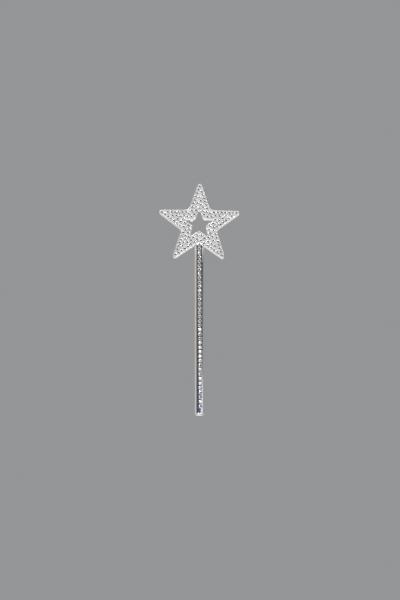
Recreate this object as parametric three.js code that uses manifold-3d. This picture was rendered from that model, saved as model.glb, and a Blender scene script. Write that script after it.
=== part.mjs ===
// A magic wand: a star-headed, rhinestone-paved stage wand, millimetres, +Z up the rod, stones facing -Y.
// The origin is on the rod's axis where the hand closes round it.
import * as THREE from "three";
import { mergeVertices } from "three/addons/utils/BufferGeometryUtils.js";
import Module from "manifold-3d";

const wasm = await Module();
wasm.setup();

// ---- driving dimensions. Heights are above the foot of the wand until the group is moved at the end.
const GRIP_HEIGHT = 60;
const GAP = 0.2; // between pieces that touch on the real wand
const JOIN = 0.1; // how far solids that become one piece run into each other
const PAST = 10; // how far a cutting body runs past what it cuts
const LEAST_FILLET = 0.2;
const CORNER_STEPS = { tip: 4, valley: 3 };

const star = {
  height: 241.6,
  offset: -0.3, // the star sits this far off the rod's axis, across its face
  tipRadius: 58.2,
  valleyRadius: 23.1,
  tipFillet: 2.6,
  valleyFillet: 7.2,
  halfDepth: 3.5,
  wall: 1.2,
  floor: 1.2,
  rim: 0.6,
  recess: 0.8,
  edgeRound: 0.4,
  lean: 0.75, // degrees the star is set clockwise on its rod, seen from the stones
};
const cutout = { tipRadius: 21.5, valleyRadius: 8.4, tipFillet: 1.6, valleyFillet: 3.4 };
const tangPlay = 0.6; // lets the leaning star's mouth and peg clear the upright tang
const tangMouthHeight = 8;
const tangMouthDrop = 5; // how far below the lower notch the cut for the tang starts
const peg = {
  radius: 1.1,
  clearance: 0.3,
  bossRadius: 2.5,
  reach: 1.2,
  ringRadius: 33, // of the five pegs, one to an arm
  tangHeight: -17, // of the sixth, which goes through the tang, from the star's centre
  sides: 12,
};

const starStone = { radius: 2.15, tableRadius: 1.2, height: 1.3, sides: 8, spacing: 4.45 };
const paving = {
  film: 0.3, // the adhesive film's top face above the tray's floor
  filmGap: 0.05,
  filmMargin: 0.15,
  edgeDistance: 2.9,
  rayDistance: 2.25,
  holeDistance: 2.87,
};
const easing = { grid: 0.25, row: 0.5, reach: 0.8, sweeps: 40, stiffness: 8 };
const strayStone = { x: -8.9, v: 4.95, radius: 1.85, sunk: 0.6 };

const rod = { bottom: 2.8, bottomRadius: 4.75, domeBase: 214.1, topRadius: 5.6, wall: 1.0, segments: 40 };
const slotBottom = 213.8;
const plug = { bottom: 196, top: 214.4, leadIn: [0.5, 1], tangTop: 228.4, tangWidth: 8, tangDepth: 2.4 };

const strip = {
  bottom: 8.7,
  top: 216.2,
  width: 3.4,
  depth: 0.5,
  gap: 0.1,
  twistTop: 3, // degrees round the rod from the front, towards +X
  twistBottom: 22,
  twistPower: 1.5, // above 1, most of the twist comes low down
  stations: 24,
};
const rodStone = { count: 38, radius: 2.25, girdle: 0.3, tableRadius: 1.3, height: 1.35, sides: 8 };
const rodStoneRun = { top: 214, bottom: 10.7, lastOverFirstPitch: 1.07 };

const cap = {
  offset: 0.8, // the cap sits this far off the rod's axis, towards +X
  flat: 2.5,
  lipRadius: 5.2,
  lipBottom: 1.1,
  lipTop: 2.6,
  lipRound: 0.6,
  spigotRadius: 2.8,
  spigotTop: 14,
  chamfer: 0.6,
};

const degrees = Math.PI / 180;
const FIFTH = 72 * degrees;
const TENTH = 36 * degrees;

// ---- solids
function solid(geometry) {
  const bare = geometry.clone();
  bare.deleteAttribute("normal");
  bare.deleteAttribute("uv");
  const merged = mergeVertices(bare, 1e-4);
  const mesh = new wasm.Mesh({
    numProp: 3,
    vertProperties: merged.attributes.position.array,
    triVerts: new Uint32Array(merged.index.array),
  });
  return new wasm.Manifold(mesh);
}

function geometryOf(manifold) {
  const mesh = manifold.getMesh();
  const geometry = new THREE.BufferGeometry();
  geometry.setAttribute("position", new THREE.BufferAttribute(new Float32Array(mesh.vertProperties), 3));
  geometry.setIndex(new THREE.BufferAttribute(new Uint32Array(mesh.triVerts), 1));
  const faceted = geometry.toNonIndexed();
  faceted.computeVertexNormals();
  return faceted;
}

function box(size, centre) {
  return solid(new THREE.BoxGeometry(...size).translate(...centre));
}

// A cylinder or cone along Z from z0 to z1.
function round(radius0, radius1, z0, z1, sides = 16) {
  const geometry = new THREE.CylinderGeometry(radius1, radius0, z1 - z0, sides);
  return solid(geometry.rotateX(90 * degrees).translate(0, 0, (z0 + z1) / 2));
}

// A body turned round Z from [radius, height] points that start and end on the axis.
function turned(profile, segments) {
  const points = profile.map(([radius, height]) => new THREE.Vector2(radius, height));
  return new THREE.LatheGeometry(points, segments).rotateX(90 * degrees);
}

// ---- the star, drawn in its own plane (x across, v up, w out of the face) about its centre
function starAngles(tipRadius, valleyRadius) {
  const halfTip = Math.atan2(valleyRadius * Math.sin(TENTH), tipRadius - valleyRadius * Math.cos(TENTH));
  return { halfTip, halfValley: halfTip + TENTH };
}

// Outline of a five-pointed star with rounded tips and valleys; a positive inset shrinks it all round.
function starOutline({ tipRadius, valleyRadius, tipFillet, valleyFillet }, inset = 0) {
  const { halfTip, halfValley } = starAngles(tipRadius, valleyRadius);
  const kinds = [
    {
      radius: tipRadius - inset / Math.sin(halfTip),
      fillet: Math.max(tipFillet - inset, LEAST_FILLET),
      half: halfTip,
      side: -1,
      steps: CORNER_STEPS.tip,
    },
    {
      radius: valleyRadius - inset / Math.sin(halfValley),
      fillet: Math.max(valleyFillet + inset, LEAST_FILLET),
      half: halfValley,
      side: 1,
      steps: CORNER_STEPS.valley,
    },
  ];
  const points = [];
  for (let corner = 0; corner < 10; corner++) {
    const { radius, fillet, half, side, steps } = kinds[corner % 2];
    const ray = 90 * degrees + corner * TENTH;
    const centreRadius = radius + (side * fillet) / Math.sin(half);
    const sweep = 90 * degrees - half;
    for (let step = 0; step <= steps; step++) {
      const turn = sweep * ((2 * step) / steps - 1);
      const angle = side < 0 ? ray + turn : ray + Math.PI - turn;
      points.push(
        new THREE.Vector2(
          centreRadius * Math.cos(ray) + fillet * Math.cos(angle),
          centreRadius * Math.sin(ray) + fillet * Math.sin(angle),
        ),
      );
    }
  }
  return points;
}

function starShape(inset) {
  const shape = new THREE.Shape(starOutline(star, inset));
  shape.holes.push(new THREE.Path(starOutline(cutout, -inset)));
  return shape;
}

function starPlate(inset, w0, w1, edgeRound = 0) {
  const geometry = new THREE.ExtrudeGeometry(starShape(inset), {
    depth: w1 - w0 - 2 * edgeRound,
    bevelEnabled: edgeRound > 0,
    bevelThickness: edgeRound,
    bevelSize: edgeRound,
    bevelOffset: -edgeRound,
    bevelSegments: 1,
  });
  return solid(geometry.translate(0, 0, w0 + edgeRound));
}

const pegPlaces = [0, 1, 2, 3, 4].map((arm) => {
  const ray = 90 * degrees + arm * FIFTH;
  return [peg.ringRadius * Math.cos(ray), peg.ringRadius * Math.sin(ray)];
});
const rimTop = star.halfDepth;
const floorTop = rimTop - star.recess;
const floorUnderside = floorTop - star.floor;
const tangMouth = box(
  [plug.tangWidth + 2 * tangPlay, tangMouthHeight, plug.tangDepth + 2 * GAP],
  [0, tangMouthHeight / 2 - star.valleyRadius - tangMouthDrop, 0],
);

function frontShell() {
  let shell = starPlate(0, 0, rimTop, star.edgeRound)
    .subtract(starPlate(star.rim, floorTop, rimTop + PAST))
    .subtract(starPlate(star.wall, -PAST, floorUnderside));
  for (const [x, v] of pegPlaces) {
    const bore = peg.radius + peg.clearance;
    const boss = round(peg.bossRadius, peg.bossRadius, 0, floorUnderside + JOIN);
    const hole = round(bore, bore, -PAST, peg.reach + GAP, peg.sides);
    shell = shell.add(boss.translate([x, v, 0])).subtract(hole.translate([x, v, 0]));
  }
  return shell.subtract(tangMouth);
}

function backShell() {
  const innerFace = star.floor - star.halfDepth;
  const hollow = starPlate(star.wall, innerFace, PAST);
  let shell = starPlate(0, -star.halfDepth, -GAP, star.edgeRound).subtract(hollow);
  for (const [x, v] of [...pegPlaces, [0, peg.tangHeight]]) {
    const pin = round(peg.radius, peg.radius, innerFace - JOIN, peg.reach, peg.sides);
    shell = shell.add(pin.translate([x, v, 0]));
  }
  return shell.subtract(tangMouth);
}

// ---- paving: stones are set from the outer edge inwards, then each is eased to where it has most room
const holeEdge = starOutline(cutout);
const { halfTip } = starAngles(star.tipRadius, star.valleyRadius);
const { halfTip: holeHalfTip } = starAngles(cutout.tipRadius, cutout.valleyRadius);
const tongueReach = Math.sqrt(rod.topRadius ** 2 - (star.halfDepth + GAP) ** 2);

function spun([x, v], turn) {
  return [x * Math.cos(turn) - v * Math.sin(turn), x * Math.sin(turn) + v * Math.cos(turn)];
}

function between([x0, v0], [x1, v1]) {
  return Math.hypot(x0 - x1, v0 - v1);
}

// How far a point of the upright arm is inside the two straight edges that meet at a star's tip.
function insideEdges(tipRadius, tipAngle, x, v) {
  return (tipRadius - v) * Math.sin(tipAngle) - Math.abs(x) * Math.cos(tipAngle);
}

function distanceToHole(x, v) {
  const point = new THREE.Vector3(x, v, 0);
  const distances = holeEdge.map((from, index) => {
    const to = holeEdge[(index + 1) % holeEdge.length];
    const line = new THREE.Line3(new THREE.Vector3(from.x, from.y, 0), new THREE.Vector3(to.x, to.y, 0));
    return line.closestPointToPoint(point, true, new THREE.Vector3()).distanceTo(point);
  });
  return Math.min(...distances);
}

// Every place in the upright arm where a stone fits, the ones nearest the outer edge first.
function stonePlaces() {
  const places = [];
  const columns = Math.floor(star.valleyRadius / easing.grid);
  for (let v = 0; v < star.tipRadius; v += easing.grid) {
    for (let column = -columns; column <= columns; column++) {
      const x = column * easing.grid;
      const fromEdge = insideEdges(star.tipRadius, halfTip, x, v);
      const fromRay = v * Math.sin(TENTH) - Math.abs(x) * Math.cos(TENTH);
      if (fromEdge < paving.edgeDistance || fromRay < paving.rayDistance) continue;
      if (insideEdges(cutout.tipRadius, holeHalfTip, x, v) > 0) continue;
      if (distanceToHole(x, v) < paving.holeDistance) continue;
      places.push({ place: [x, v], row: Math.round((fromEdge - paving.edgeDistance) / easing.row) });
    }
  }
  places.sort((a, b) => a.row - b.row || b.place[1] - a.place[1]);
  return places.map(({ place }) => place);
}

const uprightPlaces = stonePlaces();

// How closely the other stones of the arm, and all those of the arms beside it, press on a place.
function crowding(place, others) {
  const around = others.flatMap((stone) => [stone, spun(stone, FIFTH), spun(stone, -FIFTH)]);
  around.push(spun(place, FIFTH), spun(place, -FIFTH));
  const press = (stone) => (starStone.spacing / between(place, stone)) ** easing.stiffness;
  return around.reduce((sum, stone) => sum + press(stone), 0);
}

// The stones of one arm, turned to where the arm is and clear of the rod's tongue.
function pavedArm(arm) {
  const tongue = spun([-star.offset, rod.domeBase - star.height], -arm * FIFTH);
  const tongueRoom = tongueReach + starStone.radius + 2 * GAP;
  const places = uprightPlaces.filter((place) => between(place, tongue) > tongueRoom);
  const stones = [];
  for (const place of places) {
    if (stones.every((stone) => between(place, stone) >= starStone.spacing)) stones.push(place);
  }
  for (let sweep = 0; sweep < easing.sweeps; sweep++) {
    stones.forEach((stone, index) => {
      const others = stones.filter((other) => other !== stone);
      let least = crowding(stone, others);
      for (const place of places) {
        if (between(place, stone) > easing.reach) continue;
        const pressed = crowding(place, others);
        if (pressed >= least) continue;
        least = pressed;
        stones[index] = place;
      }
    });
  }
  return stones.map((stone) => spun(stone, arm * FIFTH));
}

function stonePatch(arm) {
  const filmTop = floorTop + paving.film;
  const ray = 90 * degrees + arm * FIFTH;
  const wedge = new THREE.Shape([
    new THREE.Vector2(0, 0),
    new THREE.Vector2(2 * star.tipRadius * Math.cos(ray - TENTH), 2 * star.tipRadius * Math.sin(ray - TENTH)),
    new THREE.Vector2(2 * star.tipRadius * Math.cos(ray + TENTH), 2 * star.tipRadius * Math.sin(ray + TENTH)),
  ]);
  const shift = paving.filmMargin / Math.sin(TENTH);
  const sector = new THREE.ExtrudeGeometry(wedge, { depth: 2 * PAST, bevelEnabled: false });
  sector.translate(shift * Math.cos(ray), shift * Math.sin(ray), floorTop - PAST);
  const film = starPlate(star.rim + paving.filmMargin, floorTop + paving.filmGap, filmTop);
  let patch = film.intersect(solid(sector));
  for (const [x, v] of pavedArm(arm)) {
    const stone = round(
      starStone.radius,
      starStone.tableRadius,
      filmTop - JOIN,
      filmTop + starStone.height,
      starStone.sides,
    );
    patch = patch.add(stone.translate([x, v, 0]));
  }
  return patch;
}

// ---- the rod
function rodRadius(height) {
  const share = Math.min((height - rod.bottom) / (rod.domeBase - rod.bottom), 1);
  return THREE.MathUtils.lerp(rod.bottomRadius, rod.topRadius, share);
}

function rodTube() {
  const domeSteps = 8;
  const arc = (radius) =>
    Array.from({ length: domeSteps + 1 }, (_, step) => {
      const angle = (step / domeSteps) * 90 * degrees;
      return [radius * Math.cos(angle), rod.domeBase + radius * Math.sin(angle)];
    });
  // A tapering round body with a domed top, from a foot at one height.
  const tapered = (bottom, bottomRadius, topRadius) =>
    solid(turned([[0, bottom], [bottomRadius, bottom], ...arc(topRadius)], rod.segments));
  const outer = tapered(rod.bottom, rod.bottomRadius, rod.topRadius);
  const inner = tapered(rod.bottom - JOIN, rod.bottomRadius - rod.wall, rod.topRadius - rod.wall);
  const slotDepth = 2 * (star.halfDepth + GAP);
  const slot = box([2 * PAST, slotDepth, 2 * PAST], [0, 0, slotBottom + PAST]);
  return outer.subtract(inner).subtract(slot);
}

function neckPlug() {
  const plugRadius = rodRadius(plug.bottom) - rod.wall - GAP;
  const body = solid(
    turned(
      [
        [0, plug.bottom],
        [plugRadius - plug.leadIn[0], plug.bottom],
        [plugRadius, plug.bottom + plug.leadIn[1]],
        [plugRadius, plug.top],
        [0, plug.top],
      ],
      24,
    ),
  );
  const tangHeight = plug.tangTop - plug.top + 1;
  const tangMiddle = [star.offset, 0, plug.tangTop - tangHeight / 2];
  const tang = box([plug.tangWidth, plug.tangDepth, tangHeight], tangMiddle);
  const bore = peg.radius + tangPlay;
  const holePlace = [star.offset, 0, star.height + peg.tangHeight];
  const hole = round(bore, bore, -PAST, PAST, peg.sides).rotate([90, 0, 0]).translate(holePlace);
  return body.add(tang).subtract(hole);
}

// The strip winds a little round the rod; this is the turn at a height, 0 at the front, towards +X.
function stripTurn(height) {
  const share = (strip.top - height) / (strip.top - strip.bottom);
  return THREE.MathUtils.lerp(strip.twistTop, strip.twistBottom, share ** strip.twistPower) * degrees;
}

function stripSection(height) {
  const turn = stripTurn(height);
  const inner = rodRadius(height) + strip.gap;
  const outer = inner + strip.depth;
  const half = strip.width / 2;
  const spread = Math.asin(half / inner);
  const seat = [-1, -0.5, 0, 0.5, 1].map((share) => [
    inner * Math.sin(turn + share * spread),
    -inner * Math.cos(turn + share * spread),
  ]);
  const face = [half, -half].map((across) => [
    outer * Math.sin(turn) + across * Math.cos(turn),
    -outer * Math.cos(turn) + across * Math.sin(turn),
  ]);
  return [...seat, ...face].map(([x, y]) => [x, y, height]);
}

// A closed skin through sections of equal point counts, capped at both ends with fans.
function lofted(sections) {
  const count = sections[0].length;
  const index = [];
  for (let level = 0; level + 1 < sections.length; level++) {
    for (let corner = 0; corner < count; corner++) {
      const a = level * count + corner;
      const b = level * count + ((corner + 1) % count);
      index.push(a, a + count, b, b, a + count, b + count);
    }
  }
  const last = (sections.length - 1) * count;
  for (let corner = 1; corner + 1 < count; corner++) {
    index.push(0, corner, corner + 1, last, last + corner + 1, last + corner);
  }
  const geometry = new THREE.BufferGeometry();
  geometry.setAttribute("position", new THREE.Float32BufferAttribute(sections.flat(2), 3));
  return geometry.setIndex(index);
}

function stripBand() {
  const heights = Array.from({ length: strip.stations + 1 }, (_, step) =>
    THREE.MathUtils.lerp(strip.bottom, strip.top, step / strip.stations),
  );
  return lofted(heights.map(stripSection));
}

function rodStoneHeight(place) {
  const share = place / (rodStone.count - 1);
  const growth = (rodStoneRun.lastOverFirstPitch - 1) / (rodStoneRun.lastOverFirstPitch + 1);
  const travelled = share * (1 - growth) + share * share * growth;
  return THREE.MathUtils.lerp(rodStoneRun.top, rodStoneRun.bottom, travelled);
}

function rodStoneGeometry(height) {
  const turn = stripTurn(height);
  const seat = rodRadius(height) + strip.gap + strip.depth + strip.gap;
  const profile = [
    [0, 0],
    [rodStone.radius, 0],
    [rodStone.radius, rodStone.girdle],
    [rodStone.tableRadius, rodStone.height],
    [0, rodStone.height],
  ];
  return turned(profile, rodStone.sides)
    .rotateX(90 * degrees)
    .translate(0, -seat, height)
    .rotateZ(turn);
}

function endCap() {
  const domeSteps = 5;
  const domeRadius = cap.lipRadius - cap.lipRound;
  const dome = Array.from({ length: domeSteps + 1 }, (_, step) => {
    const angle = (step / domeSteps) * 90 * degrees;
    const radius = cap.flat + (domeRadius - cap.flat) * Math.sin(angle);
    return [radius, cap.lipBottom * (1 - Math.cos(angle))];
  });
  const profile = [
    [0, 0],
    ...dome,
    [cap.lipRadius, cap.lipBottom + cap.lipRound],
    [cap.lipRadius, cap.lipTop - cap.lipRound],
    [domeRadius, cap.lipTop],
    [cap.spigotRadius, cap.lipTop],
    [cap.spigotRadius, cap.spigotTop - cap.chamfer],
    [cap.spigotRadius - cap.chamfer, cap.spigotTop],
    [0, cap.spigotTop],
  ];
  return turned(profile, 32).translate(cap.offset, 0, 0);
}

// ---- finishes
const finishes = {
  silverPlate: { color: 0xd8dadc, metalness: 1, roughness: 0.12 },
  chrome: { color: 0xc9ccd0, metalness: 1, roughness: 0.06 },
  crystal: { color: 0xf2f4f8, metalness: 0.6, roughness: 0.08 },
  adhesiveBand: { color: 0xb9bcc2, metalness: 0.3, roughness: 0.45 },
  greyPlastic: { color: 0x8f9296, metalness: 0, roughness: 0.5 },
};

const wand = new THREE.Group();
wand.name = "magic_wand";
wand.position.z = -GRIP_HEIGHT;

function addPiece(name, geometry, finish) {
  const mesh = new THREE.Mesh(geometry, new THREE.MeshStandardMaterial(finishes[finish]));
  mesh.name = name;
  wand.add(mesh);
  return mesh;
}

// Stands a star piece up: its face turns to -Y, it leans, and its centre goes to the star's height.
function addStarPiece(name, manifold, finish) {
  const upright = geometryOf(manifold).rotateX(90 * degrees).rotateY(star.lean * degrees);
  addPiece(name, upright.translate(star.offset, 0, star.height), finish);
}

addStarPiece("star_front_shell", frontShell(), "silverPlate");
addStarPiece("star_back_shell", backShell(), "silverPlate");
for (let arm = 0; arm < 5; arm++) addStarPiece(`star_stones_arm_${arm + 1}`, stonePatch(arm), "crystal");
// One stone has slipped off the face and is stuck by its edge to the wall of the cut-out.
const strayBack = rimTop - strayStone.sunk;
const stray = round(
  strayStone.radius,
  starStone.tableRadius,
  strayBack,
  strayBack + starStone.height,
  starStone.sides,
);
addStarPiece("star_stone_loose", stray.translate([strayStone.x, strayStone.v, 0]), "crystal");
addPiece("neck_plug", geometryOf(neckPlug()), "greyPlastic");
addPiece("rod_tube", geometryOf(rodTube()), "chrome");
addPiece("strip_band", stripBand(), "adhesiveBand");
for (let place = 0; place < rodStone.count; place++) {
  const number = String(place + 1).padStart(2, "0");
  addPiece(`rod_stone_${number}`, rodStoneGeometry(rodStoneHeight(place)), "crystal");
}
addPiece("end_cap", endCap(), "chrome");

export default wand;
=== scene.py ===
# A star-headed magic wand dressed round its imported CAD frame: metres, +Z up the rod, stones facing -Y.
import math
import random

import bmesh
import bpy
from mathutils import Matrix, Vector


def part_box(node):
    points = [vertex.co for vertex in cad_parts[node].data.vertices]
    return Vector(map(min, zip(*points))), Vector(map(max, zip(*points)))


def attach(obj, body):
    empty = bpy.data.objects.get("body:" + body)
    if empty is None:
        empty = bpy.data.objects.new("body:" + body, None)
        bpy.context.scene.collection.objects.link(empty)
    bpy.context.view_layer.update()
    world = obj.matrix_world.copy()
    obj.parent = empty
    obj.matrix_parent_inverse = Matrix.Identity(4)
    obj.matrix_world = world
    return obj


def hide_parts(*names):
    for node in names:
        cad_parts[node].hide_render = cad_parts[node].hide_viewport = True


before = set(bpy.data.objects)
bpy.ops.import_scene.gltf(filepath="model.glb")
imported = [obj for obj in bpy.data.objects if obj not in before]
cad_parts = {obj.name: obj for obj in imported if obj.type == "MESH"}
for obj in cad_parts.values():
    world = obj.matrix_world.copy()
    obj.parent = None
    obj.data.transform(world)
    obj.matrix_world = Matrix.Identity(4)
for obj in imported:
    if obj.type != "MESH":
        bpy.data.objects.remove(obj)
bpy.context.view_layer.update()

# ---- dimensions in millimetres, or metres where they are multiplied by MM, and the same as the CAD's
# where it has them; heights are above the foot of the wand
MM = 0.001
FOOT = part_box("end_cap")[0].z
TENTH = math.radians(36)

STAR_CENTRE = Vector((-0.3 * MM, 0, FOOT + 241.6 * MM))
STAR_LEAN = math.radians(0.75)
STAR = dict(tip=58.2, valley=23.1, tip_fillet=2.6, valley_fillet=7.2)
CUTOUT = dict(tip=21.5, valley=8.4, tip_fillet=1.6, valley_fillet=3.4)
HALF_DEPTH = 3.5
TRAY_TOP = 2.7
SEAM = 0.1
LEAST_FILLET = 0.2
CORNER_STEPS = 12
RIM_WIDTH = 0.75
EDGE_ROUND = 0.5
BEAD_STEPS = 10
BED = dict(clearance=0.05, thickness=0.3, edge_thickness=0.25, edge_width=0.25, lift=0.02)

# The two sizes of crystal, with how far out of true they sit, in degrees.
STAR_STONE = dict(radius=2.16, height=1.3, wobble=1.8)
ROD_STONE = dict(radius=2.3, height=1.35, wobble=5.5)
STONE_SIDES = 8
# The rings of a crystal from its back to its table: share of its radius, share of its height.
BASE, GIRDLE, SHOULDER, TABLE = (0.97, 0.0), (1.0, 0.2), (0.77, 0.66), (0.54, 1.0)
SMALLEST_STONE = 0.985

TUBE = dict(bottom=2.8, bottom_radius=4.75, dome_base=214.1, top_radius=5.6, wall=1.0)
TUBE_SEGMENTS = 96
TUBE_STATION = 15
FOOT_ROUND = 0.2
DOME_STEPS = 14
DOME_SWEEP = math.radians(87.3)
SLOT = dict(bottom=213.8, top=230, half_depth=3.7, half_width=20, rounding=0.15)
CAP = dict(offset=0.8, flat=2.5, lip_radius=5.2, lip_bottom=1.1, lip_top=2.6, lip_round=0.6)
FLAT_RING = 0.7
SPIGOT = dict(radius=2.8, top=14)
CAP_SEGMENTS = 72
CAP_STEPS = 10
BAND = dict(bottom=8.7, top=216.2, half=1.7, seat=0.12, thickness=0.46, edge_drop=0.12, stations=80)
# Section of the round setting under a stone: radius, and level above the stone's seat.
SETTING = [(2.05, -0.1), (2.38, 0.0), (2.44, 0.3), (2.42, 0.42), (2.34, 0.44), (2.31, 0.3), (2.28, -0.1)]
SETTING_SIDES = 24

rng = random.Random(7)


# ---- mesh helpers
def new_piece(name, mesh, slot, *nodes):
    """A piece that rides on the wand and stands for the given CAD nodes, which it hides; slot is not used."""
    piece = bpy.data.objects.new(name, mesh)
    bpy.context.scene.collection.objects.link(piece)
    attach(piece, "root")
    if nodes:
        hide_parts(*nodes)
    return piece


def mesh_of(bm, name):
    bmesh.ops.recalc_face_normals(bm, faces=bm.faces)
    mesh = bpy.data.meshes.new(name)
    bm.to_mesh(mesh)
    bm.free()
    return mesh


CREASE = math.radians(32)
FLAT_FACE_WEIGHT = 90


def smooth(piece):
    """Smooth shading with creases, the flat faces kept flat."""
    for polygon in piece.data.polygons:
        polygon.use_smooth = True
    piece.data.set_sharp_from_angle(angle=CREASE)
    weighted = piece.modifiers.new("weighted", "WEIGHTED_NORMAL")
    weighted.keep_sharp = True
    weighted.weight = FLAT_FACE_WEIGHT


def loft(bm, rings, closed):
    """Quads between rings of equal point counts; closed joins the last ring to the first."""
    made = [[bm.verts.new(point) for point in ring] for ring in rings]
    count = len(rings[0])
    last = len(made) if closed else len(made) - 1
    for level in range(last):
        here, there = made[level], made[(level + 1) % len(made)]
        for corner in range(count):
            after = (corner + 1) % count
            bm.faces.new((here[corner], here[after], there[after], there[corner]))
    return made


def turned_rings(profile, segments):
    """Rings round Z for (radius, height above the foot) points in millimetres."""
    rings = []
    for radius, height in profile:
        ring = []
        for step in range(segments):
            angle = 2 * math.pi * step / segments
            ring.append(
                Vector((radius * MM * math.cos(angle), radius * MM * math.sin(angle), FOOT + height * MM))
            )
        rings.append(ring)
    return rings


# ---- the star
def star_outline(shape, inset):
    """Points round a star with rounded tips and valleys; a positive inset shrinks it all round."""
    half_tip = math.atan2(
        shape["valley"] * math.sin(TENTH), shape["tip"] - shape["valley"] * math.cos(TENTH)
    )
    half_valley = half_tip + TENTH
    tip = (
        shape["tip"] - inset / math.sin(half_tip),
        max(shape["tip_fillet"] - inset, LEAST_FILLET),
        half_tip,
        -1,
    )
    valley = (
        shape["valley"] - inset / math.sin(half_valley),
        max(shape["valley_fillet"] + inset, LEAST_FILLET),
        half_valley,
        1,
    )
    points = []
    for corner in range(10):
        radius, fillet, half, side = (tip, valley)[corner % 2]
        ray = math.pi / 2 + corner * TENTH
        middle = radius + side * fillet / math.sin(half)
        sweep = math.pi / 2 - half
        for step in range(CORNER_STEPS + 1):
            turn = sweep * (2 * step / CORNER_STEPS - 1)
            angle = ray + turn if side < 0 else ray + math.pi - turn
            points.append(
                (
                    middle * math.cos(ray) + fillet * math.cos(angle),
                    middle * math.sin(ray) + fillet * math.sin(angle),
                )
            )
    return points


def on_star(x, v, w):
    """A point across, up and out of the star's face, in millimetres, in the wand's frame."""
    across = x * math.cos(STAR_LEAN) + v * math.sin(STAR_LEAN)
    up = v * math.cos(STAR_LEAN) - x * math.sin(STAR_LEAN)
    return STAR_CENTRE + Vector((across, -w, up)) * MM


def star_ring(shape, inset, w):
    return [on_star(x, v, w) for x, v in star_outline(shape, inset)]


def shell_mesh(name, profile):
    """A star-shaped body closed round its cut-out; profile is (inset, w) from its edge to its face."""
    rings = [star_ring(STAR, inset, w) for inset, w in profile]
    rings += [star_ring(CUTOUT, -inset, w) for inset, w in reversed(profile)]
    bm = bmesh.new()
    loft(bm, rings, closed=True)
    return mesh_of(bm, name)


def bead(outer, inner, height, top):
    """Half a rounded bead in section, from its outer foot over its crown to its inner foot."""
    middle, half = (outer + inner) / 2, (inner - outer) / 2
    points = []
    for step in range(BEAD_STEPS + 1):
        angle = math.pi * step / BEAD_STEPS
        points.append((middle - half * math.cos(angle), top - height + height * math.sin(angle)))
    return points


# Sections of the two halves' outer skins as (inset, distance from the parting plane), from the seam
# outwards: a small round at the seam, then the front's bead and tray, or the back's rounded edge and face.
front_profile = [(0.35, SEAM), (0.12, SEAM + 0.08), (0.0, SEAM + 0.3)]
front_profile += bead(0.0, RIM_WIDTH, EDGE_ROUND, HALF_DEPTH)
front_profile += [(RIM_WIDTH, TRAY_TOP)]
back_profile = [(0.35, -SEAM), (0.12, -SEAM - 0.08), (0.0, -SEAM - 0.3), (0.0, 0.7 - HALF_DEPTH)]
back_profile += [(0.08, 0.4 - HALF_DEPTH), (0.28, 0.14 - HALF_DEPTH), (0.6, 0.02 - HALF_DEPTH)]
back_profile += [(0.85, -HALF_DEPTH)]

front_shell = new_piece(
    "front_shell", shell_mesh("front_shell", front_profile), "star_silver", "star_front_shell"
)
back_shell = new_piece("back_shell", shell_mesh("back_shell", back_profile), "star_silver", "star_back_shell")
smooth(front_shell)
smooth(back_shell)


# ---- stones
def add_stone(bm, tint, seat, outward, radius, height, wobble):
    """One flat-backed brilliant: girdle, kites, star facets and table, a little out of true."""
    yaw = rng.uniform(0, 2 * math.pi / STONE_SIDES)
    lean = Matrix.Rotation(rng.gauss(0, math.radians(wobble)), 3, "X")
    lean = Matrix.Rotation(rng.gauss(0, math.radians(wobble)), 3, "Y") @ lean
    turn = outward.to_track_quat("Z", "Y").to_matrix() @ lean
    radius *= rng.uniform(SMALLEST_STONE, 1.0)
    shade = rng.random()

    def ring(count, section, offset=0):
        share, level = section
        made = []
        for step in range(count):
            angle = yaw + 2 * math.pi * (step + offset) / count
            reach = radius * share
            local = Vector((reach * math.cos(angle), reach * math.sin(angle), height * level))
            made.append(bm.verts.new(seat + turn @ local * MM))
        return made

    base = ring(2 * STONE_SIDES, BASE)
    girdle = ring(2 * STONE_SIDES, GIRDLE)
    shoulder = ring(STONE_SIDES, SHOULDER, offset=0.5)
    table = ring(STONE_SIDES, TABLE)
    faces = [list(reversed(base)), table]
    for step in range(2 * STONE_SIDES):
        after = (step + 1) % (2 * STONE_SIDES)
        faces.append([base[step], base[after], girdle[after], girdle[step]])
    for step in range(STONE_SIDES):
        after = (step + 1) % STONE_SIDES
        faces.append([shoulder[step], girdle[2 * step], girdle[2 * step + 1]])
        faces.append([shoulder[step], girdle[2 * step + 1], girdle[2 * after]])
        faces.append([table[step], shoulder[step - 1], girdle[2 * step], shoulder[step]])
        faces.append([table[step], shoulder[step], table[after]])
    for corners in faces:
        face = bm.faces.new(corners)
        face[tint] = 0.7 * shade + 0.3 * rng.random()


def stone_mesh(name, seats, size):
    """Crystals on (seat, outward direction) pairs; their tint is an attribute of each facet."""
    bm = bmesh.new()
    tint = bm.faces.layers.float.new("tint")
    for seat, outward in seats:
        add_stone(bm, tint, seat, outward, **size)
    mesh = bpy.data.meshes.new(name)
    bm.to_mesh(mesh)
    bm.free()
    return mesh


# A CAD face is part of a stone's table if it faces forward and is level with the front of its patch,
# and two such faces closer than the reach belong to one stone.
FACES_FRONT = -0.99
TABLE_LEVEL = 0.1 * MM
TABLE_REACH = 2.2 * MM


def star_seats(node):
    """Seat of every stone of a paved CAD patch, found from its flat tables."""
    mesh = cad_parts[node].data
    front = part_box(node)[0].y
    tables = []
    for polygon in mesh.polygons:
        if polygon.normal.y > FACES_FRONT or polygon.center.y > front + TABLE_LEVEL:
            continue
        for table in tables:
            if (table[0] - polygon.center).length < TABLE_REACH:
                break
        else:
            table = [polygon.center.copy(), Vector(), 0.0]
            tables.append(table)
        table[1] += polygon.center * polygon.area
        table[2] += polygon.area
    outward = Vector((0, -1, 0))
    depth = STAR_STONE["height"] * MM
    return [(total / area - outward * depth, outward) for _, total, area in tables]


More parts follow.
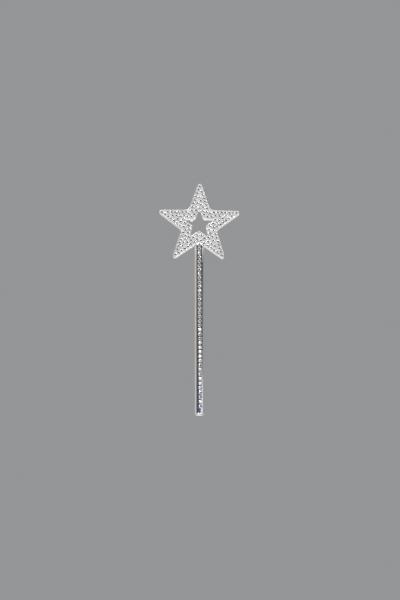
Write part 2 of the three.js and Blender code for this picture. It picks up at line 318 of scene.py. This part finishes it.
def rod_seat(node):
    """Seat and outward direction of one CAD stone on the rod."""
    points = [vertex.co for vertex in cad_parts[node].data.vertices]
    middle = sum(points, Vector()) / len(points)
    outward = Vector((middle.x, middle.y, 0)).normalized()
    seat = outward * min(point.dot(outward) for point in points)
    low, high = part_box(node)
    return seat + Vector((0, 0, (low.z + high.z) / 2)), outward


# The loose stone has tipped over a little, up and to the left.
LOOSE_FACING = Vector((-0.10, -0.95, 0.24)).normalized()

stone_pieces = []
for arm in range(1, 6):
    node = f"star_stones_arm_{arm}"
    stones = stone_mesh(f"crystals_arm_{arm}", star_seats(node), STAR_STONE)
    stone_pieces.append(new_piece(f"crystals_arm_{arm}", stones, "crystal", node))
loose_seat = star_seats("star_stone_loose")[0][0]
loose = stone_mesh("crystal_loose", [(loose_seat, LOOSE_FACING)], STAR_STONE)
stone_pieces.append(new_piece("crystal_loose", loose, "crystal", "star_stone_loose"))

rod_nodes = sorted(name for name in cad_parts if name.startswith("rod_stone_"))
rod_seats = [rod_seat(node) for node in rod_nodes]
for node, seat in zip(rod_nodes, rod_seats):
    name = node.replace("rod_stone", "rod_crystal")
    stone_pieces.append(new_piece(name, stone_mesh(name, [seat], ROD_STONE), "crystal", node))

# The bed the star's stones sit in: a thin film that fills the tray between the rims.
bed_edge = RIM_WIDTH + BED["clearance"]
bed_profile = [
    (bed_edge, TRAY_TOP + BED["lift"]),
    (bed_edge, TRAY_TOP + BED["edge_thickness"]),
    (bed_edge + BED["edge_width"], TRAY_TOP + BED["thickness"]),
]
stone_bed = new_piece("stone_bed", shell_mesh("stone_bed", bed_profile), "crystal")
smooth(stone_bed)


# ---- the rod
def tube_radius(height):
    """The rod's taper."""
    share = min(max((height - TUBE["bottom"]) / (TUBE["dome_base"] - TUBE["bottom"]), 0), 1)
    return TUBE["bottom_radius"] + share * (TUBE["top_radius"] - TUBE["bottom_radius"])


def dome(radius):
    """The rounded top, stopped just short of its pole."""
    points = []
    for step in range(DOME_STEPS + 1):
        angle = DOME_SWEEP * step / DOME_STEPS
        points.append((radius * math.cos(angle), TUBE["dome_base"] + radius * math.sin(angle)))
    return points


def tube_mesh():
    outer, wall = TUBE["bottom_radius"], TUBE["wall"]
    profile = [(outer - FOOT_ROUND, TUBE["bottom"]), (outer, TUBE["bottom"] + FOOT_ROUND)]
    stations = range(TUBE_STATION, int(TUBE["dome_base"]), TUBE_STATION)
    profile += [(tube_radius(height), height) for height in stations]
    profile += dome(TUBE["top_radius"])
    profile += reversed(dome(TUBE["top_radius"] - wall))
    profile += [(outer - wall, TUBE["bottom"])]
    bm = bmesh.new()
    loft(bm, turned_rings(profile, TUBE_SEGMENTS), closed=True)
    return mesh_of(bm, "tube")


def cutter(low, high):
    """A plain block between two corners, for cutting the slot only."""
    bm = bmesh.new()
    outline = ((low.x, low.y), (high.x, low.y), (high.x, high.y), (low.x, high.y))
    corners = [[Vector((x, y, z)) for x, y in outline] for z in (low.z, high.z)]
    bottom, top = loft(bm, corners, closed=False)
    bm.faces.new(bottom)
    bm.faces.new(top)
    piece = bpy.data.objects.new("cutter", mesh_of(bm, "cutter"))
    bpy.context.scene.collection.objects.link(piece)
    return piece


def baked(piece):
    """Replaces a piece's mesh by what its modifiers make of it."""
    graph = bpy.context.evaluated_depsgraph_get()
    mesh = bpy.data.meshes.new_from_object(piece.evaluated_get(graph))
    piece.modifiers.clear()
    piece.data = mesh


rod_tube = new_piece("chrome_tube", tube_mesh(), "rod_chrome", "rod_tube")
slot_low = Vector((-SLOT["half_width"] * MM, -SLOT["half_depth"] * MM, FOOT + SLOT["bottom"] * MM))
slot_high = Vector((SLOT["half_width"] * MM, SLOT["half_depth"] * MM, FOOT + SLOT["top"] * MM))
slot_cutter = cutter(slot_low, slot_high)
slot = rod_tube.modifiers.new("slot", "BOOLEAN")
slot.object = slot_cutter
slot.operation = "DIFFERENCE"
slot.solver = "EXACT"
rounding = rod_tube.modifiers.new("rounding", "BEVEL")
rounding.width = SLOT["rounding"] * MM
rounding.segments = 2
rounding.limit_method = "ANGLE"
rounding.angle_limit = math.radians(50)
baked(rod_tube)
bpy.data.objects.remove(slot_cutter)
smooth(rod_tube)


def cap_mesh():
    """A shallow dome, a fat rounded lip and a spigot, set a little off the rod's axis."""
    lip_half = (CAP["lip_top"] - CAP["lip_bottom"]) / 2
    lip_middle = CAP["lip_bottom"] + lip_half
    dome_radius = CAP["lip_radius"] - CAP["lip_round"]
    pole = 0.01
    profile = [(pole, 0), (CAP["flat"] * FLAT_RING, 0)]
    for step in range(CAP_STEPS):
        angle = math.pi / 2 * step / CAP_STEPS
        reach = CAP["flat"] + (dome_radius - CAP["flat"]) * math.sin(angle)
        profile.append((reach, CAP["lip_bottom"] * (1 - math.cos(angle))))
    for step in range(CAP_STEPS + 1):
        angle = math.pi * (step / CAP_STEPS - 0.5)
        reach = dome_radius + (CAP["lip_radius"] - dome_radius) * math.cos(angle)
        profile.append((reach, lip_middle + lip_half * math.sin(angle)))
    profile += [(SPIGOT["radius"], CAP["lip_top"]), (SPIGOT["radius"], SPIGOT["top"])]
    profile += [(pole, SPIGOT["top"])]
    bm = bmesh.new()
    rings = loft(bm, turned_rings(profile, CAP_SEGMENTS), closed=False)
    bm.faces.new(rings[0])
    bm.faces.new(rings[-1])
    bmesh.ops.translate(bm, verts=bm.verts, vec=(CAP["offset"] * MM, 0, 0))
    return mesh_of(bm, "cap")


end_cap = new_piece("foot_cap", cap_mesh(), "rod_chrome", "end_cap")
smooth(end_cap)


# ---- the strip the rod's stones are set in: a thin band with a round setting under each stone
def strip_turn(height):
    """Direction of the strip's middle at a height, read between its stones."""
    turns = [(seat.z - FOOT, math.atan2(outward.x, -outward.y)) for seat, outward in rod_seats]
    turns.sort()
    if height <= turns[0][0]:
        return turns[0][1]
    for (low, first), (high, second) in zip(turns, turns[1:]):
        if low <= height <= high:
            return first + (second - first) * (height - low) / (high - low)
    return turns[-1][1]


def band_section(height):
    """The strip's section at a height: a seat that follows the rod and a flat face with dropped edges."""
    turn = strip_turn(height * MM)
    outward = Vector((math.sin(turn), -math.cos(turn), 0))
    across = Vector((math.cos(turn), math.sin(turn), 0))
    inner = tube_radius(height) + BAND["seat"]
    outer = inner + BAND["thickness"]
    up = Vector((0, 0, FOOT + height * MM))
    points = []
    for share in (-1, -0.5, 0, 0.5, 1):
        angle = share * math.asin(BAND["half"] / inner)
        points.append(up + (outward * math.cos(angle) + across * math.sin(angle)) * inner * MM)
    for share, drop in ((0.97, BAND["edge_drop"]), (0.8, 0), (-0.8, 0), (-0.97, BAND["edge_drop"])):
        points.append(up + (outward * (outer - drop) + across * share * BAND["half"]) * MM)
    return points


def strip_mesh():
    bm = bmesh.new()
    length = BAND["top"] - BAND["bottom"]
    heights = [BAND["bottom"] + length * step / BAND["stations"] for step in range(BAND["stations"] + 1)]
    rings = loft(bm, [band_section(height) for height in heights], closed=False)
    bm.faces.new(rings[0])
    bm.faces.new(rings[-1])
    for seat, outward in rod_seats:
        turn = outward.to_track_quat("Z", "Y").to_matrix()
        rings = []
        for radius, level in SETTING:
            ring = []
            for step in range(SETTING_SIDES):
                angle = 2 * math.pi * step / SETTING_SIDES
                local = Vector((radius * math.cos(angle), radius * math.sin(angle), level))
                ring.append(seat + turn @ local * MM)
            rings.append(ring)
        loft(bm, rings, closed=True)
    return mesh_of(bm, "strip")


strip = new_piece("strip_setting", strip_mesh(), "strip_band", "strip_band")
smooth(strip)


# ---- materials
def fill_ramp(node, stops):
    """Sets a colour ramp's stops from (position, colour) pairs."""
    elements = node.color_ramp.elements
    while len(elements) < len(stops):
        elements.new(0.5)
    for element, (position, colour) in zip(elements, stops):
        element.position = position
        element.color = (*colour, 1)


class Nodes:
    """A material's node tree, with short calls to add and link nodes."""

    def __init__(self, name):
        self.material = bpy.data.materials.new(name)
        self.material.use_nodes = True
        self.tree = self.material.node_tree
        self.shader = self.tree.nodes["Principled BSDF"]

    def add(self, kind, **settings):
        node = self.tree.nodes.new("ShaderNode" + kind)
        for key, value in settings.items():
            if key in node.inputs:
                node.inputs[key].default_value = value
            else:
                setattr(node, key, value)
        return node

    def link(self, source, target):
        self.tree.links.new(source, target)

    def set(self, **values):
        for key, value in values.items():
            self.shader.inputs[key.replace("_", " ")].default_value = value

    def ramp(self, source, stops):
        """A colour for each value of source."""
        node = self.add("ValToRGB")
        fill_ramp(node, stops)
        self.link(source, node.inputs["Fac"])
        return node.outputs["Color"]

    def spread(self, source, low, high, to_low, to_high):
        """Carries the range low to high over to the range to_low to to_high."""
        node = self.add("MapRange")
        for key, value in zip(("From Min", "From Max", "To Min", "To Max"), (low, high, to_low, to_high)):
            node.inputs[key].default_value = value
        self.link(source, node.inputs["Value"])
        return node.outputs["Result"]

    def place(self, scale):
        """Object coordinates, scaled along each axis; a small scale draws a pattern out."""
        coordinates = self.add("TexCoord")
        mapping = self.add("Mapping")
        mapping.inputs["Scale"].default_value = scale
        self.link(coordinates.outputs["Object"], mapping.inputs["Vector"])
        return mapping.outputs["Vector"]

    def noise(self, place, scale, detail=3, roughness=0.5):
        node = self.add("TexNoise", Scale=scale, Detail=detail, Roughness=roughness)
        self.link(place, node.inputs["Vector"])
        return node.outputs["Fac"]

    def bump(self, height, strength, distance, before=None):
        node = self.add("Bump", Strength=strength, Distance=distance)
        self.link(height, node.inputs["Height"])
        if before is not None:
            self.link(before, node.inputs["Normal"])
        return node.outputs["Normal"]

    def onto(self, source, socket):
        self.link(source, self.shader.inputs[socket])


def silver_plate():
    """The star's body: satin silver plate, faintly clouded, with fine upright brushing."""
    nodes = Nodes("silver_plate")
    nodes.set(Metallic=1.0)
    cloud = nodes.noise(nodes.place((1, 1, 1)), 60, 4)
    nodes.onto(nodes.ramp(cloud, [(0.3, (0.92, 0.92, 0.91)), (0.7, (0.97, 0.97, 0.97))]), "Base Color")
    scratches = nodes.noise(nodes.place((1400, 300, 90)), 1, 2)
    nodes.onto(nodes.spread(scratches, 0.35, 0.75, 0.26, 0.38), "Roughness")
    ripple = nodes.bump(cloud, 0.15, 0.0006)
    nodes.onto(nodes.bump(scratches, 0.05, 0.00004, ripple), "Normal")
    return nodes.material


def chrome():
    """The rod and cap: bright chrome with a slight waviness, drawn lines along the rod and smudges."""
    nodes = Nodes("chrome")
    nodes.set(Metallic=1.0)
    smudge = nodes.noise(nodes.place((1, 1, 0.35)), 90, 4, 0.6)
    nodes.onto(nodes.ramp(smudge, [(0.3, (0.80, 0.80, 0.80)), (0.7, (0.88, 0.885, 0.89))]), "Base Color")
    drawn = nodes.noise(nodes.place((1, 1, 0.02)), 2200, 2)
    rough = nodes.add("Math", operation="MULTIPLY_ADD")
    nodes.link(smudge, rough.inputs[0])
    rough.inputs[1].default_value = 0.10
    nodes.link(nodes.spread(drawn, 0.4, 0.7, 0.0, 0.05), rough.inputs[2])
    nodes.onto(rough.outputs["Value"], "Roughness")
    wave = nodes.noise(nodes.place((1, 1, 0.3)), 70, 1)
    ripple = nodes.bump(wave, 0.25, 0.0005)
    nodes.onto(nodes.bump(drawn, 0.03, 0.00003, ripple), "Normal")
    return nodes.material


def crystal():
    """Foil-backed crystal, from faintly violet to faintly yellow by facet, a little dusty."""
    nodes = Nodes("foiled_crystal")
    nodes.set(Metallic=1.0, Coat_Weight=0.7, Coat_Roughness=0.02)
    tint = nodes.add("Attribute", attribute_name="tint")
    colours = [
        (0.0, (0.87, 0.85, 0.93)),
        (0.3, (0.95, 0.95, 0.96)),
        (0.7, (0.97, 0.97, 0.96)),
        (1.0, (0.91, 0.91, 0.85)),
    ]
    nodes.onto(nodes.ramp(tint.outputs["Fac"], colours), "Base Color")
    facets = nodes.add("TexVoronoi", Scale=850.0)
    nodes.link(nodes.place((1, 1, 1)), facets.inputs["Vector"])
    dust = nodes.noise(nodes.place((1, 1, 1)), 700, 2)
    nodes.onto(nodes.spread(dust, 0.4, 0.7, 0.03, 0.12), "Roughness")
    nodes.onto(nodes.bump(facets.outputs["Distance"], 0.12, 0.0003), "Normal")
    return nodes.material


def stone_bed_film():
    """The silvery adhesive film between the stones, finely grained."""
    nodes = Nodes("adhesive_film")
    nodes.set(Metallic=0.45)
    grain = nodes.add("TexVoronoi", Scale=2400.0)
    nodes.link(nodes.place((1, 1, 1)), grain.inputs["Vector"])
    speck = grain.outputs["Distance"]
    nodes.onto(nodes.ramp(speck, [(0.1, (0.97, 0.965, 0.955)), (0.6, (0.86, 0.855, 0.85))]), "Base Color")
    nodes.onto(nodes.spread(speck, 0.1, 0.7, 0.25, 0.45), "Roughness")
    nodes.onto(nodes.bump(speck, 0.3, 0.0002), "Normal")
    return nodes.material


def strip_plastic():
    """The silvered strip down the rod, patchily worn."""
    nodes = Nodes("silvered_strip")
    nodes.set(Metallic=0.9)
    wear = nodes.noise(nodes.place((1, 1, 1)), 500, 3)
    nodes.onto(nodes.ramp(wear, [(0.35, (0.60, 0.60, 0.61)), (0.65, (0.80, 0.80, 0.81))]), "Base Color")
    nodes.onto(nodes.spread(wear, 0.3, 0.7, 0.16, 0.34), "Roughness")
    nodes.onto(nodes.bump(wear, 0.2, 0.0001), "Normal")
    return nodes.material


def grey_plastic():
    """The moulded plug inside the rod's top."""
    nodes = Nodes("grey_plastic")
    grain = nodes.noise(nodes.place((1, 1, 1)), 900, 3)
    nodes.onto(nodes.ramp(grain, [(0.4, (0.15, 0.15, 0.16)), (0.6, (0.2, 0.2, 0.21))]), "Base Color")
    nodes.onto(nodes.spread(grain, 0.3, 0.7, 0.4, 0.6), "Roughness")
    nodes.onto(nodes.bump(grain, 0.2, 0.0001), "Normal")
    return nodes.material


def paint(material, *pieces):
    for piece in pieces:
        piece.data.materials.clear()
        piece.data.materials.append(material)


paint(silver_plate(), front_shell, back_shell)
paint(chrome(), rod_tube, end_cap)
paint(crystal(), *stone_pieces)
paint(stone_bed_film(), stone_bed)
paint(strip_plastic(), strip)
paint(grey_plastic(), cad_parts["neck_plug"])

# ---- floor, world, lights and camera
# The wand is held up and seen from a little below, with the floor this far under its foot, in metres.
LOOK_UP = math.radians(12)
FLOOR_DROP = 0.45
BACKDROP = (0.30, 0.303, 0.308)
FLOOR = dict(radius=3.0, segments=96, solid_to=0.5, gone_by=2.9)


def floor_material():
    """Matt and pale, fading into the backdrop towards its edge."""
    nodes = Nodes("floor")
    nodes.set(Roughness=0.75)
    grain = nodes.noise(nodes.place((1, 1, 1)), 300, 3)
    nodes.onto(nodes.ramp(grain, [(0.3, (0.33, 0.33, 0.33)), (0.7, (0.35, 0.35, 0.35))]), "Base Color")
    coordinates = nodes.add("TexCoord")
    distance = nodes.add("VectorMath", operation="LENGTH")
    nodes.link(coordinates.outputs["Object"], distance.inputs[0])
    fade = nodes.add("MapRange", interpolation_type="SMOOTHSTEP")
    fade.inputs["From Min"].default_value = FLOOR["solid_to"]
    fade.inputs["From Max"].default_value = FLOOR["gone_by"]
    fade.inputs["To Min"].default_value = 1.0
    fade.inputs["To Max"].default_value = 0.0
    nodes.link(distance.outputs["Value"], fade.inputs["Value"])
    nodes.onto(fade.outputs["Result"], "Alpha")
    return nodes.material


floor_bm = bmesh.new()
bmesh.ops.create_circle(floor_bm, cap_ends=True, radius=FLOOR["radius"], segments=FLOOR["segments"])
floor = bpy.data.objects.new("floor", mesh_of(floor_bm, "floor"))
floor.location.z = FOOT - FLOOR_DROP
floor.visible_glossy = False
bpy.context.scene.collection.objects.link(floor)
paint(floor_material(), floor)


# What stands round the wand in reflections, by degrees: 0 in front of the stones, 90 to their right
# as the front view sees them.
WALLS = [
    (-180, (0.62, 0.62, 0.61)),
    (-150, (0.64, 0.63, 0.61)),
    (-104, (0.60, 0.585, 0.55)),
    (-92, (0.44, 0.41, 0.35)),
    (-80, (0.34, 0.28, 0.20)),
    (-56, (0.22, 0.18, 0.135)),
    (-46, (0.07, 0.068, 0.07)),
    (0, (0.05, 0.055, 0.075)),
    (46, (0.045, 0.05, 0.09)),
    (80, (0.06, 0.065, 0.11)),
    (96, (0.13, 0.135, 0.125)),
    (130, (0.24, 0.245, 0.22)),
    (150, (0.20, 0.20, 0.19)),
    (180, (0.62, 0.62, 0.61)),
]
# The same ring lower down, which the foot of the rod reflects: blue in front, bright to the right.
LOW_WALLS = [
    (-180, (0.62, 0.62, 0.61)),
    (-96, (0.60, 0.60, 0.58)),
    (-80, (0.42, 0.42, 0.42)),
    (-62, (0.08, 0.09, 0.12)),
    (-20, (0.07, 0.09, 0.15)),
    (0, (0.10, 0.14, 0.26)),
    (52, (0.09, 0.14, 0.30)),
    (66, (0.75, 0.77, 0.82)),
    (130, (0.95, 0.95, 0.95)),
    (180, (0.62, 0.62, 0.61)),
]
LOW_RISE = (-0.052, -0.068)
# The ground, the lowest part of the ring, and the sky above it. A RISE is the height, from the level
# of the look-up angle, over which one part turns into the next.
GROUND = [
    (-180, (0.97, 0.97, 0.96)),
    (-160, (0.95, 0.95, 0.94)),
    (-140, (0.70, 0.70, 0.69)),
    (-95, (0.30, 0.30, 0.30)),
    (-62, (0.90, 0.90, 0.89)),
    (0, (1.05, 1.05, 1.04)),
    (32, (0.92, 0.92, 0.92)),
    (52, (0.50, 0.50, 0.51)),
    (95, (0.26, 0.26, 0.27)),
    (140, (0.70, 0.70, 0.70)),
    (180, (0.97, 0.97, 0.96)),
]
SKY = [
    (-180, (0.88, 0.88, 0.88)),
    (-110, (0.74, 0.74, 0.74)),
    (-65, (1.14, 1.135, 1.12)),
    (65, (1.14, 1.135, 1.12)),
    (110, (0.74, 0.74, 0.74)),
    (180, (0.88, 0.88, 0.88)),
]
SKY_RISE = (0.10, 0.26)
GROUND_RISE = (-0.20, -0.36)
# A dark upright shape straight ahead, as a lens and its stand would be: how high it reaches, and how
# far to each side.
LENS_DARK = (0.11, 0.11, 0.112)
LENS_TOP = math.sin(math.radians(15))
LENS_BOTTOM = math.sin(math.radians(-1))
LENS_EDGE = (math.sin(math.radians(15)), math.sin(math.radians(9)))


class WorldNodes:
    """The world's node tree, with the few steps its reflections need."""

    def __init__(self, tree):
        self.tree = tree

    def add(self, kind):
        return self.tree.nodes.new("ShaderNode" + kind)

    def link(self, source, target):
        self.tree.links.new(source, target)

    def ring(self, share, stops):
        """Colours round the wand, from (degrees, colour) pairs."""
        node = self.add("ValToRGB")
        fill_ramp(node, [((degrees + 180) / 360, colour) for degrees, colour in stops])
        self.link(share, node.inputs["Fac"])
        return node.outputs["Color"]

    def mix(self, factor, first, second):
        """Blends two colours, each a socket or a plain colour; a Mix node has them at inputs 6 and 7."""
        node = self.add("Mix")
        node.data_type = "RGBA"
        self.link(factor, node.inputs[0])
        for value, socket in ((first, node.inputs[6]), (second, node.inputs[7])):
            if isinstance(value, tuple):
                socket.default_value = (*value, 1)
            else:
                self.link(value, socket)
        return node.outputs[2]

    def rise(self, height, start, stop):
        """0 to 1 as a value goes smoothly from start to stop."""
        node = self.add("MapRange")
        node.interpolation_type = "SMOOTHSTEP"
        node.inputs["From Min"].default_value = start
        node.inputs["From Max"].default_value = stop
        self.link(height, node.inputs["Value"])
        return node.outputs["Result"]

    def maths(self, operation, first, second):
        """One Math node; each value is a socket or a plain number."""
        node = self.add("Math")
        node.operation = operation
        for value, socket in ((first, node.inputs[0]), (second, node.inputs[1])):
            if isinstance(value, (int, float)):
                socket.default_value = value
            else:
                self.link(value, socket)
        return node.outputs["Value"]

    def from_lens(self, right, ahead, up):
        """How far a direction is from the upright dark shape straight ahead."""
        over = self.maths("SUBTRACT", up, LENS_TOP)
        under = self.maths("SUBTRACT", LENS_BOTTOM, up)
        beyond = self.maths("MAXIMUM", self.maths("MAXIMUM", over, under), 0)
        behind = self.maths("MAXIMUM", self.maths("MULTIPLY", ahead, -1), 0)
        offset = self.add("CombineXYZ")
        for source, axis in ((right, "X"), (behind, "Y"), (beyond, "Z")):
            self.link(source, offset.inputs[axis])
        length = self.add("VectorMath")
        length.operation = "LENGTH"
        self.link(offset.outputs["Vector"], length.inputs[0])
        return length.outputs["Value"]

    def heading(self, right, ahead):
        """The turn round the wand of a direction, 0 to 1 for -180 to 180 degrees."""
        share = self.add("MapRange")
        share.inputs["From Min"].default_value = -math.pi
        share.inputs["From Max"].default_value = math.pi
        self.link(self.maths("ARCTAN2", right, ahead), share.inputs["Value"])
        return share.outputs["Result"]


def make_world():
    """A plain grey backdrop to the eye, and a studio of bright walls and dark gaps in reflections."""
    world = bpy.data.worlds.new("studio")
    bpy.context.scene.world = world
    world.use_nodes = True
    nodes = WorldNodes(world.node_tree)
    direction = nodes.add("SeparateXYZ")
    nodes.link(nodes.add("TexCoord").outputs["Generated"], direction.inputs[0])
    ahead = nodes.maths("MULTIPLY", direction.outputs["Y"], -1)
    share = nodes.heading(direction.outputs["X"], ahead)
    height = nodes.maths("SUBTRACT", direction.outputs["Z"], math.sin(LOOK_UP))
    walls = nodes.ring(share, WALLS)
    walls = nodes.mix(nodes.rise(height, *LOW_RISE), walls, nodes.ring(share, LOW_WALLS))
    seen = nodes.mix(nodes.rise(height, *SKY_RISE), walls, nodes.ring(share, SKY))
    seen = nodes.mix(nodes.rise(height, *GROUND_RISE), seen, nodes.ring(share, GROUND))
    lens = nodes.from_lens(direction.outputs["X"], ahead, direction.outputs["Z"])
    seen = nodes.mix(nodes.rise(lens, *LENS_EDGE), seen, LENS_DARK)
    path = nodes.add("LightPath")
    shown = nodes.mix(path.outputs["Is Camera Ray"], seen, BACKDROP)
    nodes.link(shown, world.node_tree.nodes["Background"].inputs["Color"])


make_world()

# The point about halfway up the wand that the camera and the lights face.
MIDDLE = Vector((0, 0, FOOT + 144.8 * MM))


def softbox(name, place, size, power):
    """A square soft light aimed at the wand's middle; its place from there and size in metres."""
    data = bpy.data.lights.new(name, "AREA")
    data.energy = power
    data.shape = "SQUARE"
    data.size = size
    lamp = bpy.data.objects.new(name, data)
    lamp.location = MIDDLE + Vector(place)
    lamp.rotation_euler = (-Vector(place)).to_track_quat("-Z", "Y").to_euler()
    lamp.visible_camera = False
    bpy.context.scene.collection.objects.link(lamp)


softbox("key", (-0.55, -0.63, 1.15), 0.5, 8.5)
softbox("fill", (0.75, -0.45, 0.85), 0.5, 4.5)
softbox("back", (0.2, 0.9, 0.8), 0.6, 3)

# The height in metres that the picture takes in at the wand, and how the camera is a little off square.
FRAME_HEIGHT = 0.7485
ASIDE = 1.1 * MM
ROLL = math.radians(0.15)
camera_data = bpy.data.cameras.new("camera")
camera_data.lens = 85
camera_data.sensor_width = 36
camera = bpy.data.objects.new("camera", camera_data)
camera_distance = FRAME_HEIGHT * camera_data.lens / camera_data.sensor_width
sight = Vector((0, math.cos(LOOK_UP), math.sin(LOOK_UP)))
camera.location = MIDDLE + Vector((ASIDE, 0, 0)) - sight * camera_distance
upward = Matrix.Rotation(LOOK_UP + math.pi / 2, 3, "X")
camera.rotation_euler = (upward @ Matrix.Rotation(ROLL, 3, "Z")).to_euler()
bpy.context.scene.collection.objects.link(camera)
bpy.context.scene.camera = camera
bpy.context.scene.view_settings.view_transform = "Standard"
